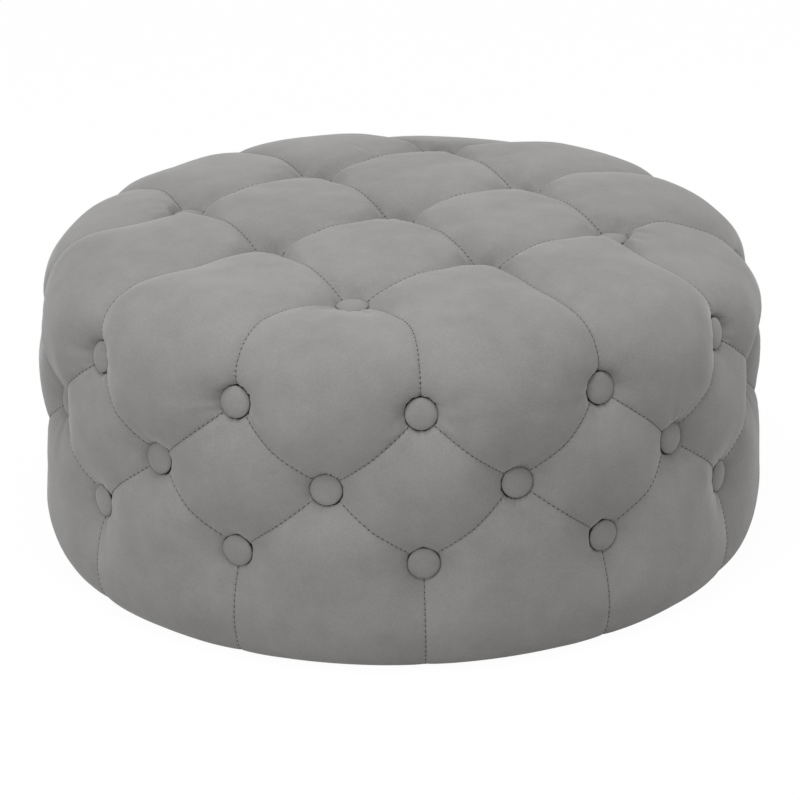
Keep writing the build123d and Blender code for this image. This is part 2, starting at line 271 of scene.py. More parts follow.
def crestProfile(c):
    # r, z and arc length along the puffs, from the crown to the floor
    shoulderCount, sideCount, baseCount, count = c["samples"]
    angle = np.linspace(0, math.pi / 2, shoulderCount)
    rise = c["height"] - c["shoulder"]
    power = c["roundness"]
    reach = np.sin(angle) ** (2 / power) * c["radius"]
    height = c["shoulder"] + np.cos(angle) ** (2 / power) * rise
    side = np.linspace(c["shoulder"], c["floorGap"] + c["baseCurve"], sideCount)[1:]
    fall = np.linspace(0, math.pi / 2, baseCount)[1:]
    upright = np.full(len(side), c["radius"])
    reach = np.concatenate([reach, upright, c["radius"] - c["baseDraw"] * (1 - np.cos(fall))])
    height = np.concatenate([height, side, c["floorGap"] + c["baseCurve"] * (1 - np.sin(fall))])
    length = np.concatenate([[0], np.cumsum(np.hypot(np.diff(reach), np.diff(height)))])
    even = np.linspace(0, length[-1], count)
    return np.interp(even, length, reach), np.interp(even, length, height), even


profileR, profileZ, profileS = crestProfile(cover)


def lengthAtHeight(height):
    return np.interp(-np.asarray(height), -profileZ, profileS)


def lengthAtRadius(radius):
    top = profileZ > cover["shoulder"]
    return np.interp(radius, profileR[top], profileS[top])


def smooth(share):
    share = np.clip(share, 0, 1)
    return share * share * (3 - 2 * share)


upperLength = float(lengthAtHeight(cover["rows"][2]))
innerLength = float(lengthAtRadius(cover["uprightReach"]))


def placeOn(theta, length, dip):
    # a point of the cover: the crest at that length, pulled in by dip
    reach = np.interp(length, profileS, profileR)
    height = np.interp(length, profileS, profileZ)
    pull = math.pi / 2 * smooth((upperLength - length) / (upperLength - innerLength))
    angle = np.radians(theta)
    lift = np.interp(np.asarray(theta) % 360, cover["liftAngles"], cover["lifts"]) / 1000
    middle, width = cover["liftPlace"]
    lift = lift * smooth(1 - np.abs(length - middle) / width)
    reach = reach - dip * np.cos(pull) + lift * cover["liftOut"]
    height = height - dip * np.sin(pull) + lift * cover["liftUp"]
    return np.stack([reach * np.cos(angle), reach * np.sin(angle), height], -1)


# Buttons: angle, length on the crest, dip of the seat, tilt upwards
grid = cover["grid"]
sideButtons = {}
for row, name in enumerate(("lower", "middle", "upper")):
    length = float(lengthAtHeight(cover["rows"][row]))
    dip = float(np.interp(length, profileS, profileR)) - cover["seats"][row]
    turn = halfPitch if name == "middle" else 0
    sideButtons[name] = [(pitch * k + turn, length, dip, cover["tilts"][row]) for k in range(rowCount)]
topButtons = []
for gx in (-grid, 0, grid):
    for gy in (-grid, 0, grid):
        length = float(lengthAtRadius(math.hypot(gx, gy)))
        dip = float(np.interp(length, profileS, profileZ)) - cover["topSeat"]
        topButtons.append((math.degrees(math.atan2(gy, gx)), length, dip, 90))
allButtons = sideButtons["lower"] + sideButtons["middle"] + sideButtons["upper"] + topButtons
firstTop = 3 * rowCount  # its index; it is the corner button at the front
buttonAngles, buttonLengths, buttonDips, buttonTilts = (np.array(column) for column in zip(*allButtons))
buttonCrests = placeOn(buttonAngles, buttonLengths, 0)
buttonPlaces = placeOn(buttonAngles, buttonLengths, buttonDips)
buttonTurns, buttonLeans = np.radians(buttonAngles), np.radians(buttonTilts)
buttonOut = np.stack([
    np.cos(buttonTurns) * np.cos(buttonLeans),
    np.sin(buttonTurns) * np.cos(buttonLeans),
    np.sin(buttonLeans),
], -1)


def offAxis(places, index):
    # distance from the axis of each point's own button
    offset = places - buttonPlaces[index]
    along = (offset * buttonOut[index]).sum(-1, keepdims=True)
    return np.linalg.norm(offset - along * buttonOut[index], axis=-1)


# Steps along a seam, closer near the buttons
def bunched(count):
    even = np.linspace(0, 1, count)
    return even - cover["bunching"] * np.sin(2 * np.pi * even)


steps = bunched(cover["segments"] + 1)
doubleSteps = np.concatenate([steps / 2, 0.5 + steps[1:] / 2])

panels = []  # each: theta, length, valley, along and across the nearest seam, puff
seams = []  # each: theta, length and valley along it


def valley(gap, room=1.0):
    # 1 on a seam, 0 where its valley has risen to the puff
    return np.clip(1 - gap / np.minimum(cover["valleyWidth"], room), 0, 1) ** 2


def joined(*parts):
    # several valleys at one place
    rest = 1
    for part in parts:
        rest = rest * (1 - part)
    return 1 - rest


def nearest(distances, alongs):
    # how far along the nearest seam and across from it each point lies
    distances = np.stack([np.broadcast_to(d, alongs[0].shape) for d in distances])
    alongs = np.stack([np.broadcast_to(a, distances[0].shape) for a in alongs])
    pick = distances.argmin(0)
    rows, columns = np.indices(pick.shape)
    return alongs[pick, rows, columns], distances[pick, rows, columns]


def sidePanels():
    a, b = np.meshgrid(steps, steps, indexing="ij")
    side = cover["diamondSide"]
    flush = np.zeros_like(a)
    height = np.interp(a + b, [0, 1, 2], cover["rows"])
    gaps = [a * side, (1 - a) * side, b * side, (1 - b) * side]
    dent = joined(*(valley(gap, side / 2) for gap in gaps))
    along, across = nearest(gaps, [np.abs(b - 0.5) * side] * 2 + [np.abs(a - 0.5) * side] * 2)
    for k in range(rowCount):
        theta, length = pitch * k + halfPitch * (a - b), lengthAtHeight(height)
        panels.append((theta, length, dent, along, across, flush))
        for edge in ((0, slice(None)), (-1, slice(None)), (slice(None), 0), (slice(None), -1)):
            seams.append((theta[edge], length[edge], dent[edge]))


def bottomPanels():
    u, v = np.meshgrid(doubleSteps, np.linspace(0, 1, cover["bottomRows"]), indexing="ij")
    phi = 2 * u - 1
    low, diamond = cover["rows"][0], cover["diamondSide"]
    topHeight = np.interp(1 - np.abs(phi), [0, 1], cover["rows"][:2])
    height = cover["floorGap"] + (topHeight - cover["floorGap"]) * v
    side = (1 - np.abs(phi)) * cover["columnHalf"]
    slant = (topHeight - height) * cover["slantShare"]
    fade = cover["floorDip"] / cover["valleyDip"]
    upright = valley(side) * (fade + (1 - fade) * smooth(height / cover["fadeHeight"]))
    dent = joined(upright, valley(slant, diamond / 2))
    along, across = nearest([side, slant], [np.abs(low - height), np.abs(0.5 - np.abs(phi)) * diamond])
    for k in range(rowCount):
        theta, length = pitch * k + halfPitch + halfPitch * phi, lengthAtHeight(height)
        panels.append((theta, length, dent, along, across, np.zeros_like(u)))
        seams.append((theta[0], length[0], dent[0]))


def seamCurve(t, fromAngle, corner):
    # a seam over the shoulder, flattened: from an upper button to a top button
    start = np.array([math.cos(math.radians(fromAngle)), math.sin(math.radians(fromAngle))])
    end = np.array(corner)
    endLength = float(lengthAtRadius(np.hypot(*end)))
    end = end / np.hypot(*end) * endLength
    straight = abs(start[0] * end[1] - start[1] * end[0]) < 1e-6
    bend = start * ((upperLength + endLength) / 2 if straight else cover["bendReach"])
    s = np.linspace(0, 1, cover["seamSamples"])[:, None]
    heavy = 1 if straight else cover["bendPull"]
    parts = (1 - s) ** 2, 2 * s * (1 - s) * heavy, s**2
    curve = (parts[0] * start * upperLength + parts[1] * bend + parts[2] * end) / sum(parts)
    run = np.concatenate([[0], np.cumsum(np.linalg.norm(np.diff(curve, axis=0), axis=1))])
    return np.stack([np.interp(t, run / run[-1], curve[:, i]) for i in (0, 1)], -1)


def cornerOf(angle):
    # the top button that an upper button's seam runs to
    index = round(angle / pitch) % rowCount
    acrossX = (1, 1, 1, 0, -1, -1, -1, -1, -1, 0, 1, 1)
    return grid * acrossX[index], grid * acrossX[index - 3]


def flatten(x, y):
    # a place on the top, moved out to its length on the crest
    reach = np.hypot(x, y)
    spread = lengthAtRadius(reach) / np.maximum(reach, 1e-9)
    return np.stack([x * spread, y * spread], -1)


def turnOf(flat):
    return np.degrees(np.arctan2(flat[..., 1], flat[..., 0])) % 360


def shoulderFlat(k, u, up):
    # the panel between two seams, flattened, and how wide it is at each height
    leftCorner, rightCorner = cornerOf(pitch * k), cornerOf(pitch * (k + 1))
    left = seamCurve(up, pitch * k, leftCorner)
    right = seamCurve(up, pitch * (k + 1), rightCorner)
    leftTurn, rightTurn = turnOf(left), turnOf(right)
    rightTurn = np.where(rightTurn < leftTurn - 1e-6, rightTurn + 360, rightTurn)
    middle = np.radians(leftTurn + (rightTurn - leftTurn) * u)
    reach = np.hypot(left[..., 0], left[..., 1]) * (1 - u) + np.hypot(right[..., 0], right[..., 1]) * u
    rounded = np.stack([reach * np.cos(middle), reach * np.sin(middle)], -1)
    # towards its upper edge the panel follows the straight line between two top buttons
    fromLeft, fromRight = (1 - u)[..., None], u[..., None]
    edge = flatten(
        leftCorner[0] * (1 - u) + rightCorner[0] * u,
        leftCorner[1] * (1 - u) + rightCorner[1] * u,
    )
    endLeft = seamCurve(np.ones_like(up), pitch * k, leftCorner)
    endRight = seamCurve(np.ones_like(up), pitch * (k + 1), rightCorner)
    bow = edge - endLeft * fromLeft - endRight * fromRight
    late = smooth(up)[..., None]
    flat = rounded * (1 - late) + (left * fromLeft + right * fromRight + bow * late**2) * late
    width = np.hypot(*(np.moveaxis(left - right, -1, 0))) / 2
    return flat, width, leftCorner != rightCorner


def shoulderPanels():
    share, diamond = cover["shoulderShare"], cover["diamondSide"]
    lowerRows, upperRows = cover["shoulderRows"]
    lower, upper = np.linspace(1, 0, lowerRows)[:-1], bunched(upperRows)
    u, v = np.meshgrid(doubleSteps, np.concatenate([-lower, upper]), indexing="ij")
    phi = 2 * u - 1
    start = -share * (1 - np.abs(phi))
    t = np.where(v < 0, -start * v, v)
    below = t < 0
    up = np.clip(t, 0, 1)
    row = np.clip(1 + (t + share) / share, 1, 2)
    lowHeight = np.interp(row, [1, 2], cover["rows"][1:])
    slant = np.abs(t - start) / share * cover["shoulderSlant"]
    alongs = [
        np.abs(up - 0.5) * cover["shoulderRun"],
        np.abs(0.5 - np.abs(phi)) * diamond,
        np.abs(u - 0.5) * grid,
    ]
    for k in range(rowCount):
        flat, width, meets = shoulderFlat(k, u, up)
        theta = np.where(below, pitch * k + halfPitch + halfPitch * phi, turnOf(flat))
        length = np.where(below, lengthAtHeight(lowHeight), np.hypot(flat[..., 0], flat[..., 1]))
        sideGap = (1 - np.abs(phi)) * np.where(below, cover["columnHalf"], width)
        edgeGap = (1 - up) * cover["shoulderRoom"] if meets else np.ones_like(up)
        dent = joined(
            valley(sideGap, np.maximum(width, cover["leastRoom"])) * smooth(1 + t / cover["seamStart"]),
            valley(slant, diamond / 2),
            valley(edgeGap),
        )
        clearSide = np.where(below & (slant < cover["cornerGap"]), 1, sideGap)
        along, across = nearest([clearSide, slant, edgeGap], alongs)
        puff = cover["puffs"][k] / 1000 * (1 - np.abs(phi) ** 3) * np.sin(np.pi * up)
        panels.append((theta, length, dent, along, across, puff))
        here = v[0] >= 0
        seams.append((theta[0][here], length[0][here], dent[0][here]))


def topPanels():
    u, v = np.meshgrid(doubleSteps, doubleSteps, indexing="ij")
    gaps = [u * grid, (1 - u) * grid, v * grid, (1 - v) * grid]
    dent = joined(*(valley(gap, grid / 2) for gap in gaps))
    along, across = nearest(gaps, [np.abs(v - 0.5) * grid] * 2 + [np.abs(u - 0.5) * grid] * 2)
    for cornerX in (-grid, 0):
        for cornerY in (-grid, 0):
            x, y = cornerX + u * grid, cornerY + v * grid
            theta, length = np.degrees(np.arctan2(y, x)), lengthAtRadius(np.hypot(x, y))
            panels.append((theta, length, dent, along, across, np.zeros_like(u)))
            edges = [(0, slice(None)), (slice(None), 0)]
            edges += [(-1, slice(None))] if cornerX == 0 else []
            edges += [(slice(None), -1)] if cornerY == 0 else []
            seams.extend((theta[edge], length[edge], dent[edge]) for edge in edges)


def dipAt(theta, length, dent, across):
    # valleys of the seams, and a hollow with a steep lip round each button
    crest = placeOn(theta, length, 0)
    reach = np.hypot(crest[:, 0], crest[:, 1])
    innerReach, innerSpan = cover["innerTop"]
    inner = 1 - smooth((reach - innerReach) / innerSpan)
    gap = np.full(len(crest), 1.0)
    seat = np.zeros(len(crest))
    closest = np.zeros(len(crest), int)
    for index, (place, depth) in enumerate(zip(buttonCrests, buttonDips)):
        distance = np.linalg.norm(crest - place, axis=1)
        closer = distance < gap
        gap[closer] = distance[closer]
        seat[closer] = depth
        closest[closer] = index
    # a top button's hollow is steep, but wide towards the outside of the front corner's
    middles = buttonCrests[closest, :2]
    outward = middles / np.maximum(np.linalg.norm(middles, axis=1), 1e-9)[:, None]
    facing = ((crest[:, :2] - middles) * outward).sum(-1) / np.maximum(gap, 1e-6)
    wideFrom, wideSpan = cover["wideHollow"]
    wide = (closest == firstTop) * smooth((facing - wideFrom) / wideSpan)
    steep = (closest >= firstTop) * (1 - wide)
    spread = cover["hollowReach"] + (cover["topHollowReach"] - cover["hollowReach"]) * steep
    fold = np.exp(-((across / cover["foldWidth"]) ** 2))
    spread = spread + (cover["foldReach"] - spread) * fold * steep
    funnel = np.clip(1 - gap / spread, 0, 1) ** 2
    shallow = cover["valleyDip"] + (cover["topValleyDip"] - cover["valleyDip"]) * inner
    dip = shallow * dent + (seat - shallow) * funnel
    seatRadius, pocketRadius, pocketRise = cover["seatRadius"], cover["pocketRadius"], cover["pocketRise"]
    rim = placeOn(theta, length, seat - pocketRise)
    ring = np.where(gap < cover["pocketNear"], offAxis(rim, closest), gap)
    rise = np.clip((ring - seatRadius) / (pocketRadius - seatRadius), 0, 1) * pocketRise
    rise = rise + np.clip(ring - pocketRadius, 0, None) * cover["pocketSlope"]
    pocket = seat - rise
    # the deeper of the two, with a soft edge
    deeper = (dip + pocket + np.sqrt((dip - pocket) ** 2 + cover["softness"] ** 2)) / 2
    return deeper, gap, closest


# Slack in the cloth: broad, soft dents, and small folds that run out from the buttons
slack = {
    "broad": 11,  # of the noise
    "fine": 27,
    "fineShift": (5, 1, 3),
    "flat": (0.016, 0.02),  # round a button: where the dents start, and span
    "folds": (0.014, 0.09),  # from and to
    "foldTurns": 3.1,
    "foldShift": (1.7, 0.9, 4),  # the first two for each button in turn
    "foldStart": 0.010,
    "foldFade": 0.020,
}


def uneven(crest, gap, closest):
    change = np.zeros(len(crest))
    shift = Vector(slack["fineShift"])
    shiftX, shiftY, shiftZ = slack["foldShift"]
    (flatEnd, flatSpan), (near, far) = slack["flat"], slack["folds"]
    fadeLength = slack["foldFade"]
    for i, (point, distance, index) in enumerate(zip(crest, gap, closest)):
        spot = Vector(point)
        broad = noise.noise(spot * slack["broad"]) + 0.5 * noise.noise(spot * slack["fine"] + shift)
        fold = 0
        if near < distance < far:
            turn = (spot - Vector(buttonCrests[index])) / distance
            fold = noise.noise(turn * slack["foldTurns"] + Vector((index * shiftX, index * shiftY, shiftZ)))
            fold = fold * min(1, (distance - near) / slack["foldStart"])
            fold = fold * math.exp(-(distance - fadeLength) / fadeLength)
        fade = min(1, max(0, (distance - flatEnd) / flatSpan))
        change[i] = cover["uneven"] * broad * fade + cover["pull"] * fold * 2
    return change


def wrinkled(crest):
    # short folds in the slack of the cloth
    depth = np.zeros(len(crest))
    for startTurn, startLength, endTurn, endLength, deep, wide in cover["wrinkles"]:
        ends = placeOn(np.array([startTurn, endTurn]), np.array([startLength, endLength]), 0)
        line = ends[1] - ends[0]
        share = np.clip((crest - ends[0]) @ line / line.dot(line), 0, 1)
        bow = cover["wrinkleBow"] * np.sin(np.pi * share)
        gap = np.linalg.norm(crest - ends[0] - share[:, None] * line, axis=1)
        along = np.sin(np.pi * np.clip(share, *cover["wrinkleEnds"]))
        depth += deep * along * np.exp(-(((gap - bow) / wide) ** 2))
    return depth


def drawnIn(theta, length, dent, across, puff=0):
    # points of the finished cover
    crest = placeOn(theta, length, 0)
    dip, gap, closest = dipAt(theta, length, dent, across)
    clearFrom, clearSpan = cover["creaseClear"]
    clear = np.clip((gap - clearFrom) / clearSpan, 0, 1)
    crease = cover["creaseDepth"] * np.exp(-across / cover["creaseWidth"]) * clear
    loose = np.clip(crest[:, 2] / cover["tautHeight"], 0, 1)
    dip = dip + crease - puff + wrinkled(crest) + uneven(crest, gap, closest) * loose
    return placeOn(theta, length, dip)


# Radius and height of the rolled lower edge, the hem under the ring and the inside of the cover
underRings = (
    (0.334, 0.0011), (0.3225, 0.0013), (0.3160, 0.0022), (0.3140, 0.0044), (0.300, 0.0044),
    (0.2486, 0.0044), (0.2480, 0.0056), (0.2486, 0.0069), (0.300, 0.0069), (0.3225, 0.0075), (0.3265, 0.012),
    (0.3265, 0.120), (0.3265, 0.240), (0.300, 0.2816), (0.2225, 0.302), (0.100, 0.302),
)
noSeam = (0, 0.05)  # along and across, for points away from any seam


def closeUnder(points, faces, seamPlaces, borders):
    theta = np.concatenate([border[:-1] for border in borders])
    count = len(theta)
    first = len(points)
    angle = np.radians(theta)
    for reach, height in underRings:
        ring = np.stack([reach * np.cos(angle), reach * np.sin(angle), np.full(count, height)], -1)
        points.extend(ring)
        seamPlaces.extend([noSeam] * count)
    middle = len(points)
    points.append(np.array([0, 0, underRings[-1][1]]))
    seamPlaces.append(noSeam)
    index = np.arange(count)
    after = (index + 1) % count
    for level in range(len(underRings) - 1):
        low, high = first + level * count, first + (level + 1) * count
        faces.extend(np.stack([low + index, low + after, high + after, high + index], -1).tolist())
    last = first + (len(underRings) - 1) * count
    faces.extend([(last + i, last + j, middle) for i, j in zip(index, after)])
    return first, count


def gatherCover():
    # points, faces and seam places of every panel and of what closes the cover below
    points, faces, seamPlaces, borders, rim = [], [], [], [], []
    for number, (theta, length, dent, along, across, puff) in enumerate(panels):
        placed = drawnIn(theta.ravel(), length.ravel(), dent.ravel(), across.ravel(), puff.ravel())
        index = np.arange(len(placed)).reshape(theta.shape) + len(points)
        quads = np.stack([index[:-1, :-1], index[1:, :-1], index[1:, 1:], index[:-1, 1:]], -1)
        if rowCount <= number < 2 * rowCount:  # the panels that end at the floor
            borders.append(theta[:, 0])
            rim.extend(index[:-1, 0].tolist())
        points.extend(placed)
        faces.extend(quads.reshape(-1, 4).tolist())
        seamPlaces.extend(np.stack([along.ravel(), across.ravel()], -1).tolist())
    first, count = closeUnder(points, faces, seamPlaces, borders)
    for i in range(count):
        after = (i + 1) % count
        faces.append((rim[i], rim[after], first + after, first + i))
    return points, faces, seamPlaces


def makeCover():
    for makePanels in (sidePanels, bottomPanels, shoulderPanels, topPanels):
        makePanels()
    points, faces, seamPlaces = gatherCover()
    mesh = bpy.data.meshes.new("velvetCover")
    mesh.from_pydata([tuple(p) for p in points], [], faces)
    uv = mesh.uv_layers.new(name="seam")
    corners = np.zeros(len(mesh.loops), np.int32)
    mesh.loops.foreach_get("vertex_index", corners)
    uv.data.foreach_set("uv", np.array(seamPlaces, np.float32)[corners].ravel())
    cloth = addPiece("velvetCover", mesh)
    shape = bmesh.new()
    shape.from_mesh(mesh)
    bmesh.ops.remove_doubles(shape, verts=shape.verts, dist=cover["mergeGap"])
    bmesh.ops.recalc_face_normals(shape, faces=shape.faces)
    loose = sum(edge.is_boundary for edge in shape.edges)
    bent = sum(not edge.is_manifold for edge in shape.edges)
    print("cover", len(shape.verts), "points, open edges", loose, bent)
    shape.to_mesh(mesh)
    shape.free()
    mesh.shade_smooth()
    return cloth


# The cloth is held at its seams, hem and buttons, and the air in it settles the rest
settling = {
    "pressure": 14.0,
    "quality": 3,
    "frames": 9,
    "held": 0.0035,  # from a seam
    "buttonHeld": 0.021,
    "cap": 0.0025,
    "innerRadius": 0.3267,  # the inside and the hem are held too
    "innerTop": 0.3025,
    "hemTop": 0.004,
}


def settleCloth(cloth, t):
    mesh = cloth.data
    places = np.array([v.co[:] for v in mesh.vertices])
    loops = np.zeros(len(mesh.loops), np.int32)
    mesh.loops.foreach_get("vertex_index", loops)
    marks = np.zeros(len(mesh.loops) * 2, np.float32)
    mesh.uv_layers["seam"].data.foreach_get("uv", marks)
    across = np.full(len(places), 1.0)
    np.minimum.at(across, loops, marks.reshape(-1, 2)[:, 1])
    near = np.linalg.norm(places[:, None] - buttonPlaces[None], axis=2).min(1)
    reach = np.hypot(places[:, 0], places[:, 1])
    height = places[:, 2]
    inside = ((reach < t["innerRadius"]) & (height < t["innerTop"])) | (height < t["hemTop"])
    held = inside | (across < t["held"]) | (near < t["buttonHeld"])
    group = cloth.vertex_groups.new(name="held")
    group.add(np.flatnonzero(held).tolist(), 1.0, "REPLACE")
    bpy.context.view_layer.objects.active = cloth
    cloth.select_set(True)
    pad = cloth.modifiers.new("settle", "CLOTH")
    pad.settings.quality = t["quality"]
    pad.settings.vertex_group_mass = "held"
    pad.settings.use_pressure = True
    pad.settings.uniform_pressure_force = t["pressure"]
    pad.settings.effector_weights.gravity = 0
    pad.collision_settings.use_collision = False
    pad.point_cache.frame_end = t["frames"]
    for step in range(1, t["frames"] + 1):
        bpy.context.scene.frame_set(step)
    bpy.ops.object.modifier_apply(modifier="settle")
    bpy.context.scene.frame_set(1)
    moved = np.array([v.co[:] for v in mesh.vertices]) - places
    size = np.linalg.norm(moved, axis=1)
    shares = np.percentile(size[~held] * 1000, (10, 50, 90, 100)).round(2)
    print("cloth settled, in mm for 10, 50, 90 and 100% of it:", shares)
    moved *= np.minimum(1, t["cap"] / np.maximum(size, 1e-9))[:, None]
    mesh.vertices.foreach_set("co", (places + moved).astype(np.float32).ravel())
    cloth.vertex_groups.clear()
    mesh.update()
    cloth.select_set(False)


velvetCover = makeCover()
settleCloth(velvetCover, settling)
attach(velvetCover, "root")
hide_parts("tufted_cover")
print("cover made")


# Covered buttons: one shape, copied to every seat
button = {
    "radius": 0.0152,
    "rimDepth": 0.0070,  # above the seat
    "crown": 0.0031,
    "lip": (0.0145, 0.0012),  # radius and depth of the groove behind the rim
    # painted shade: the velvet colours this skirt near-black through the rim mark, for the shadow between
    # button and cloth
    "skirt": (0.0169, 0.0024),  # of the gathered cloth behind it, which lies in shadow
    "backRadius": 0.0085,
    "segments": 28,
    "edge": 0.0016,
    # shares of radius and crown
    "dome": ((0.95, 0.22), (0.84, 0.50), (0.66, 0.77), (0.42, 0.94), (0.16, 1.0)),
    "turnIn": 0.0002,  # behind the groove
    "tuck": 0.0006,  # how far the back stays above the seat
}


def makeButton(b):
    # a flat disc, its rim rolled under and its face domed
    bpy.ops.mesh.primitive_cylinder_add(
        vertices=b["segments"], radius=b["radius"], depth=b["edge"], end_fill_type="NGON"
    )
    disc = bpy.context.object
    bpy.ops.object.mode_set(mode="EDIT")
    mesh = bmesh.from_edit_mesh(disc.data)
    for face in mesh.faces:
        face.select_set(face.normal.z > 0.9)
    bmesh.update_edit_mesh(disc.data)
    for share, rise in b["dome"]:
        selected = [f for f in mesh.faces if f.select]
        radius = max(v.co.xy.length for v in selected[0].verts)
        bpy.ops.mesh.inset(thickness=radius - b["radius"] * share, depth=0)
        mesh = bmesh.from_edit_mesh(disc.data)
        for face in mesh.faces:
            if face.select:
                for vertex in face.verts:
                    vertex.co.z = b["edge"] / 2 + b["crown"] * rise
        bmesh.update_edit_mesh(disc.data)
    bpy.ops.mesh.select_all(action="DESELECT")
    mesh = bmesh.from_edit_mesh(disc.data)
    for face in mesh.faces:
        face.select_set(face.normal.z < -0.9)
    bmesh.update_edit_mesh(disc.data)
    turns = [
        b["lip"],
        (b["skirt"][0], b["lip"][1] + b["turnIn"]),
        b["skirt"],
        (b["backRadius"], b["rimDepth"] - b["tuck"]),
    ]
    bpy.ops.mesh.inset(thickness=b["radius"] - b["lip"][0], depth=0)
    for radius, depth in turns:
        bpy.ops.mesh.extrude_region_move(TRANSFORM_OT_translate={"value": (0, 0, 0)})
        mesh = bmesh.from_edit_mesh(disc.data)
        for vertex in {v for f in mesh.faces if f.select for v in f.verts}:
            vertex.co.xy *= radius / vertex.co.xy.length
            vertex.co.z = -depth
        bmesh.update_edit_mesh(disc.data)
    bpy.ops.object.mode_set(mode="OBJECT")
    disc.data.shade_smooth()
    # painted shade: everything below the rim's edge (its underside, the groove, the skirt and the back) is
    # marked here, and the velvet colours it near-black for the shadow between button and cloth
    rim = disc.data.attributes.new("rim", "FLOAT", "POINT")
    rim.data.foreach_set("value", [float(v.co.z < -b["lip"][1] / 2) for v in disc.data.vertices])
    return disc


def seatFrame(angle, length, dip, tilt):
    place = placeOn(np.array([angle]), np.array([length]), np.array([dip]))[0]
    turn = math.radians(angle)
    lean = math.radians(tilt)
    outward = Vector((math.cos(turn) * math.cos(lean), math.sin(turn) * math.cos(lean), math.sin(lean)))
    side = Vector((-math.sin(turn), math.cos(turn), 0))
    up = outward.cross(side)
    basis = Matrix((side, up, outward)).transposed().to_4x4()
    return Matrix.Translation(Vector(place) + outward * button["rimDepth"]) @ basis


def placeButtons(name, seats, node, shape):
    piece = addCopies(name, shape, [seatFrame(*seat) for seat in seats])
    piece.data.shade_smooth()
    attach(piece, "root")
    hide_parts(node)
    return piece


buttonShape = makeButton(button)
buttonPieces = []
for row, seats in sideButtons.items():
    buttonPieces.append(placeButtons(row + "RowButtons", seats, row + "_row_buttons", buttonShape))
buttonPieces.append(placeButtons("topButtons", topButtons, "top_buttons", buttonShape))
bpy.data.objects.remove(buttonShape)
print("buttons placed")

# Thread of the seams: one short stitch, copied along every seam
stitch = {
    "pitch": 0.0054,
    "length": 0.0025,
    "width": 0.0016,
    "flatness": 0.8,
    "sink": 0.0001,
    "clear": 0.0172,  # from the axis of a button
    "near": 0.04,  # as far from a button as that matters
    "ahead": 0.001,  # along the seam, to find its direction
    "inward": 0.01,
}


def makeStitch(t):
    bpy.ops.mesh.primitive_uv_sphere_add(segments=6, ring_count=4, radius=t["width"] / 2)
    thread = bpy.context.object
    bpy.ops.object.mode_set(mode="EDIT")
    bpy.ops.mesh.select_all(action="SELECT")
    bpy.ops.transform.resize(value=(t["length"] / t["width"], 1, t["flatness"]))
    bpy.ops.object.mode_set(mode="OBJECT")
    return thread


def atRun(place, run, values):
    return np.array([np.interp(place, run, values[:, i]) for i in range(3)])


def sewSeams(shape):
    corners = np.array([v.co[:] for v in shape.data.vertices])
    faces = [tuple(f.vertices) for f in shape.data.polygons]
    points, polygons = [], []
    for theta, length, dent in seams:
        line = drawnIn(theta, length, dent, np.zeros_like(theta))
        outward = placeOn(theta, length, 0) - placeOn(theta, length, stitch["inward"])
        run = np.concatenate([[0], np.cumsum(np.linalg.norm(np.diff(line, axis=0), axis=1))])
        half = int(run[-1] / 2 / stitch["pitch"])
        for place in run[-1] / 2 + stitch["pitch"] * np.arange(-half, half + 1):
            at, ahead = (atRun(place + step, run, line) for step in (0, stitch["ahead"]))
            gaps = np.linalg.norm(buttonPlaces - at, axis=1)
            index = gaps.argmin()
            if offAxis(at, index) < stitch["clear"] and gaps[index] < stitch["near"]:
                continue
            tangent = ahead - at
            tangent = tangent / max(np.linalg.norm(tangent), 1e-9)
            up = atRun(place, run, outward)
            up = up - up.dot(tangent) * tangent
            up = up / np.linalg.norm(up)
            basis = np.stack([tangent, np.cross(up, tangent), up])
            base = len(points)
            points.extend(corners @ basis + at - up * stitch["sink"])
            polygons.extend(tuple(base + i for i in face) for face in faces)
    mesh = bpy.data.meshes.new("seamStitches")
    mesh.from_pydata([tuple(p) for p in points], [], polygons)
    mesh.shade_smooth()
    print("stitches", len(polygons) // len(faces))
    return addPiece("seamStitches", mesh)


stitchShape = makeStitch(stitch)
seamStitches = sewSeams(stitchShape)
bpy.data.objects.remove(stitchShape)
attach(seamStitches, "root")

# Staples that hold the black cloth up against the ring
staple = {
    "count": 60,
    "crown": 0.010,
    "wire": 0.0010,
    "flatness": 0.7,
    "leg": 0.0012,
    "inset": 0.007,  # from the edge of the cloth
    "stray": 0.12,  # of place, as a share of the spacing, and of lean, in radians
    "strayOut": 0.0012,
    "bite": 0.3,  # share of the wire that stays below the cloth
}


def makeStaple(t):
    bpy.ops.mesh.primitive_cube_add(size=1)
    wire = bpy.context.object
    bpy.ops.object.mode_set(mode="EDIT")
    bpy.ops.transform.resize(value=(t["crown"], t["wire"], t["wire"] * t["flatness"]))
    legStart = t["crown"] / 2 - t["wire"]
    for side in (-1, 1):
        bpy.ops.mesh.select_all(action="SELECT")
        bpy.ops.mesh.bisect(plane_co=(side * legStart, 0, 0), plane_no=(1, 0, 0))
    mesh = bmesh.from_edit_mesh(wire.data)
    for face in mesh.faces:
        face.select_set(face.normal.z > 0.9 and abs(face.calc_center_median().x) > legStart)
    bmesh.update_edit_mesh(wire.data)
    bpy.ops.mesh.extrude_region_move(TRANSFORM_OT_translate={"value": (0, 0, t["leg"])})
    bpy.ops.object.mode_set(mode="OBJECT")
    return wire


def driveStaples(shape, t):
    low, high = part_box("dust_cover")
    reach = high[0] - t["inset"]
    draw = np.random.default_rng(7).uniform
    stray, strayOut = t["stray"], t["strayOut"]
    places = []
    for k in range(t["count"]):
        turn = 2 * math.pi * (k + 0.5 + draw(-stray, stray)) / t["count"]
        lean = turn + math.pi / 2 + draw(-stray, stray)
        out = reach + draw(-strayOut, strayOut)
        place = (out * math.cos(turn), out * math.sin(turn), low[2] - t["wire"] * t["bite"])
        places.append(Matrix.Translation(place) @ Matrix.Rotation(lean, 4, "Z"))
    return addCopies("dustClothStaples", shape, places)


